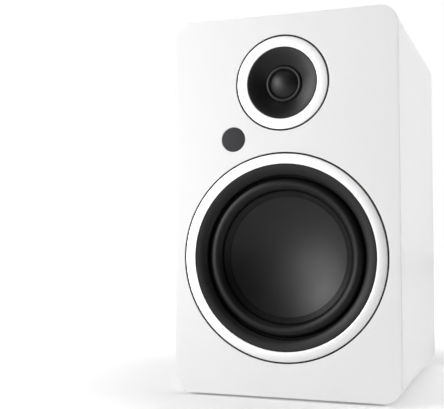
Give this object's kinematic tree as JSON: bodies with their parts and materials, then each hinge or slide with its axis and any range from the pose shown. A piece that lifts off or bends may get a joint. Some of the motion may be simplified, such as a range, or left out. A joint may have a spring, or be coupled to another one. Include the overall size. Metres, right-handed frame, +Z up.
{
  "type": "active bookshelf speaker",
  "caption": "Two-way active bookshelf speaker: rounded white cabinet, silver trim rings, dished woofer, dome tweeter in a waveguide, remote sensor, and a rear port, amplifier plate and sockets.",
  "frame": {"origin": "on the floor, under the middle of the whole object's bounding box", "axes": "+Z up, the front with the drivers faces -Y, +X to the right seen from the front"},
  "size_m": [0.18, 0.247, 0.2986],
  "materials": {
    "white_lacquer": "satin white lacquer on fibreboard",
    "raw_panel": "unpainted fibreboard",
    "foot_rubber": "matte rubber",
    "magnet_metal": "nickel plated",
    "wadding": "loose white wadding",
    "ring_aluminium": "brushed, pale silver",
    "black_rubber": "matte rubber",
    "surround_rubber": "smooth satin rubber",
    "screw_steel": "blackened steel",
    "basket_metal": "black powder coat",
    "cone": "satin dark grey, one-piece dish",
    "spider_cloth": "resin-treated cloth",
    "coil_former": "amber film",
    "copper": "enamelled copper wire",
    "motor_steel": "zinc plated",
    "ferrite": "sintered ferrite",
    "phenolic": "phenolic board with tinned tabs",
    "tinsel": "woven tinsel wire",
    "black_plastic": "fine satin moulding",
    "dome_silk": "coated silk",
    "smoked_lens": "smoked lens",
    "circuit_board": "green solder mask",
    "plate_aluminium": "black anodised",
    "sink_aluminium": "plain extrusion",
    "transformer": "ferrite core under yellow tape",
    "capacitor": "dark sleeve",
    "wire": "coloured insulation",
    "socket_metal": "nickel plated",
    "socket_gold": "gold plated",
    "insert_plastic": "coloured insulator",
    "red_plastic": "red moulding",
    "shaft_metal": "turned"
  },
  "bodies": {
    "speaker": {"cabinet_sleeve": "white_lacquer", "front_baffle": "white_lacquer", "rear_panel": "white_lacquer", "inner_brace": "raw_panel", "rubber_feet": "foot_rubber", "grille_magnets": "magnet_metal", "wadding_pads": "wadding", "woofer_trim_ring": "ring_aluminium", "tweeter_trim_ring": "ring_aluminium", "trim_ring_gaskets": "black_rubber", "screws": "screw_steel", "woofer_front_gasket": "black_rubber", "woofer_basket": "basket_metal", "woofer_surround": "surround_rubber", "woofer_spider": "spider_cloth", "woofer_top_plate": "motor_steel", "woofer_magnet": "ferrite", "woofer_pole_yoke": "motor_steel", "woofer_terminal_strip": "phenolic", "woofer_tinsel_leads": "tinsel", "tweeter_waveguide": "black_plastic", "tweeter_surround": "dome_silk", "tweeter_top_plate": "motor_steel", "tweeter_magnet": "ferrite", "tweeter_pole_yoke": "motor_steel", "sensor_window": "smoked_lens", "sensor_board": "circuit_board", "port_tube": "black_plastic", "amplifier_plate": "plate_aluminium", "board_spacers": "socket_gold", "main_board": "circuit_board", "heat_sink": "sink_aluminium", "power_board": "circuit_board", "power_transformer": "transformer", "filter_capacitors": "capacitor", "internal_wiring": "wire", "encoder_housing": "socket_metal", "rocker_housing": "black_plastic", "mains_inlet": "black_plastic", "rca_shells": "socket_gold", "rca_inserts": "insert_plastic", "optical_socket": "black_plastic", "hdmi_socket": "socket_metal", "post_studs": "socket_gold", "post_bases": "black_plastic"},
    "woofer_moving_parts": {"woofer_cone": "cone", "woofer_coil_former": "coil_former", "woofer_voice_coil": "copper"},
    "tweeter_moving_parts": {"tweeter_dome": "dome_silk", "tweeter_voice_coil": "copper"},
    "encoder_push": {"encoder_plunger": "black_plastic"},
    "volume_control": {"encoder_shaft": "shaft_metal", "volume_knob": "black_plastic"},
    "pairing_button": {"pairing_button": "black_plastic"},
    "power_rocker": {"power_rocker": "black_plastic"},
    "optical_shutter": {"optical_shutter": "black_plastic"},
    "red_post_washer": {"red_post_washer": "socket_gold"},
    "red_post_cap": {"red_post_cap": "red_plastic"},
    "black_post_washer": {"black_post_washer": "socket_gold"},
    "black_post_cap": {"black_post_cap": "black_plastic"}
  },
  "joints": [
    {"name": "woofer_excursion", "type": "slide", "parent": "speaker", "child": "woofer_moving_parts", "axis": [0, -1, 0], "range_m": [-0.005, 0.005], "stiffness_N_per_m": 1000, "deforming": ["woofer_surround", "woofer_spider", "woofer_tinsel_leads"]},
    {"name": "tweeter_excursion", "type": "slide", "parent": "speaker", "child": "tweeter_moving_parts", "axis": [0, -1, 0], "range_m": [-0.0004, 0.0004], "stiffness_N_per_m": 400, "deforming": ["tweeter_surround"]},
    {"name": "volume_push", "type": "slide", "parent": "speaker", "child": "encoder_push", "axis": [0, -1, 0], "range_m": [0, 0.0005], "stiffness_N_per_m": 2000},
    {"name": "volume_turn", "type": "hinge", "parent": "encoder_push", "child": "volume_control", "pos_m": [0.042, 0.1025, 0.1596], "axis": [0, 1, 0], "continuous": true},
    {"name": "pairing_press", "type": "slide", "parent": "speaker", "child": "pairing_button", "axis": [0, -1, 0], "range_m": [0, 0.0005], "stiffness_N_per_m": 800},
    {"name": "power_switch", "type": "hinge", "parent": "speaker", "child": "power_rocker", "pos_m": [0.004, 0.102, 0.0576], "axis": [1, 0, 0], "range_deg": [0, 20]},
    {"name": "optical_flap", "type": "hinge", "parent": "speaker", "child": "optical_shutter", "pos_m": [-0.002, 0.1023, 0.162], "axis": [-1, 0, 0], "range_deg": [0, 80], "stiffness_Nm_per_rad": 0.0001},
    {"name": "red_washer_slide", "type": "slide", "parent": "speaker", "child": "red_post_washer", "axis": [0, 1, 0], "range_m": [0, 0.005]},
    {"name": "red_cap_turn", "type": "hinge", "parent": "red_post_washer", "child": "red_post_cap", "pos_m": [-0.0265, 0.1145, 0.1236], "axis": [0, 1, 0], "range_deg": [0, 1440]},
    {"name": "black_washer_slide", "type": "slide", "parent": "speaker", "child": "black_post_washer", "axis": [0, 1, 0], "range_m": [0, 0.005]},
    {"name": "black_cap_turn", "type": "hinge", "parent": "black_post_washer", "child": "black_post_cap", "pos_m": [-0.0455, 0.1145, 0.1236], "axis": [0, 1, 0], "range_deg": [0, 1440]}
  ],
  "couplings": [
    {"joint": "red_cap_turn", "follows": "red_washer_slide", "rad_per_m": 5026.5},
    {"joint": "black_cap_turn", "follows": "black_washer_slide", "rad_per_m": 5026.5}
  ]
}
